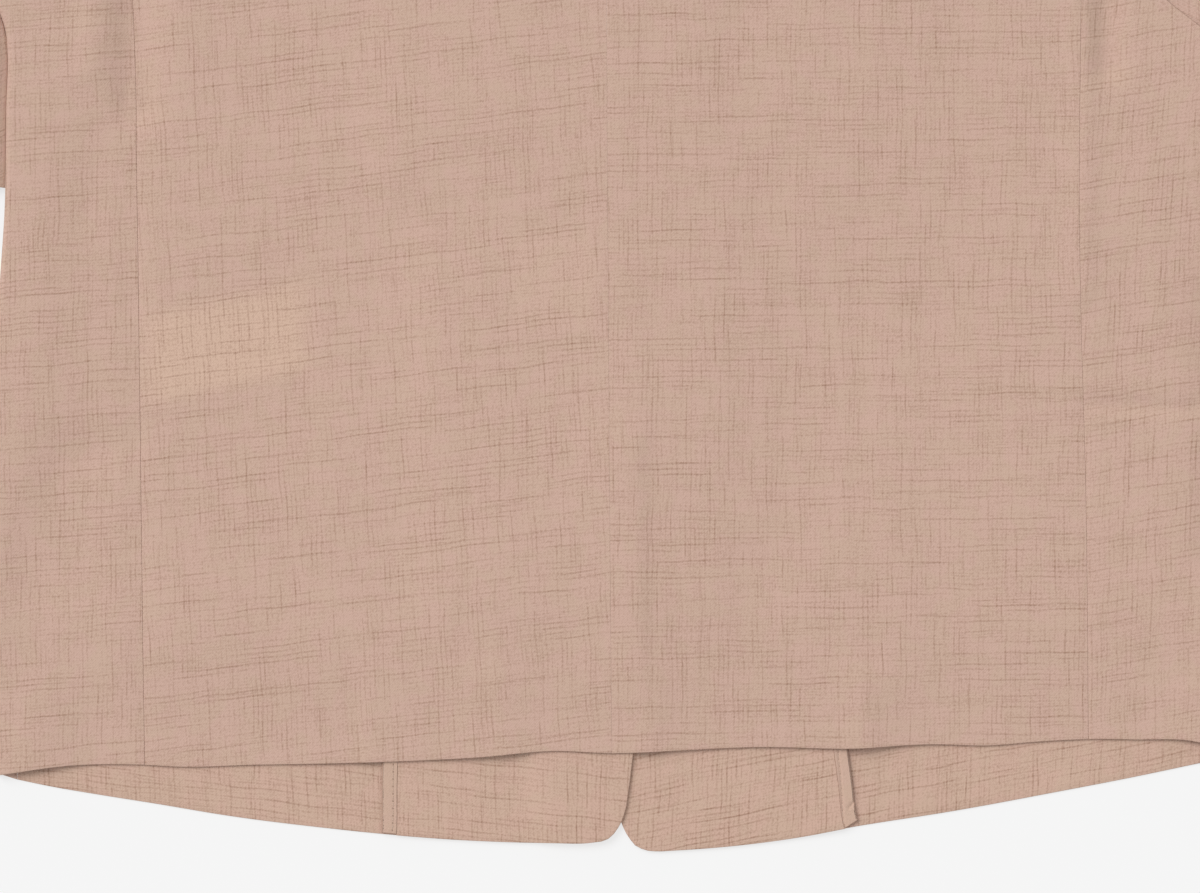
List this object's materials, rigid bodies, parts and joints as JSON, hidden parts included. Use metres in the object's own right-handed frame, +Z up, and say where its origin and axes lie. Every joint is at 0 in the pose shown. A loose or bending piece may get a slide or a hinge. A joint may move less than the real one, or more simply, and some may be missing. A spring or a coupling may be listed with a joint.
{
  "type": "single breasted blazer",
  "caption": "Short boxy tailored jacket with notched lapels and bound front facings, fastened at the front and laid flat on its front with its back up.",
  "frame": {"origin": "middle of the laid garment's outline, on the surface it lies on", "axes": "+X towards the wearer's right side, +Y from the hem to the collar, +Z up from the surface, out of the back"},
  "size_m": [0.8592, 0.6496, 0.0114],
  "materials": {
    "cloth": "matte",
    "cloth_inside": "matte",
    "binding": "matte",
    "button": "satin"
  },
  "bodies": {
    "root": {"back_left": "cloth", "back_right": "cloth", "side_left": "cloth", "side_right": "cloth", "sleeve_left_top": "cloth", "sleeve_left_under": "cloth", "sleeve_right_top": "cloth", "sleeve_right_under": "cloth", "collar": "cloth", "lapel_left": "cloth", "lapel_right": "cloth", "front_left": "cloth_inside", "front_right": "cloth_inside", "facing_left": "cloth_inside", "facing_right": "cloth_inside", "binding_left": "binding", "binding_right": "binding", "button": "button"}
  },
  "joints": []
}
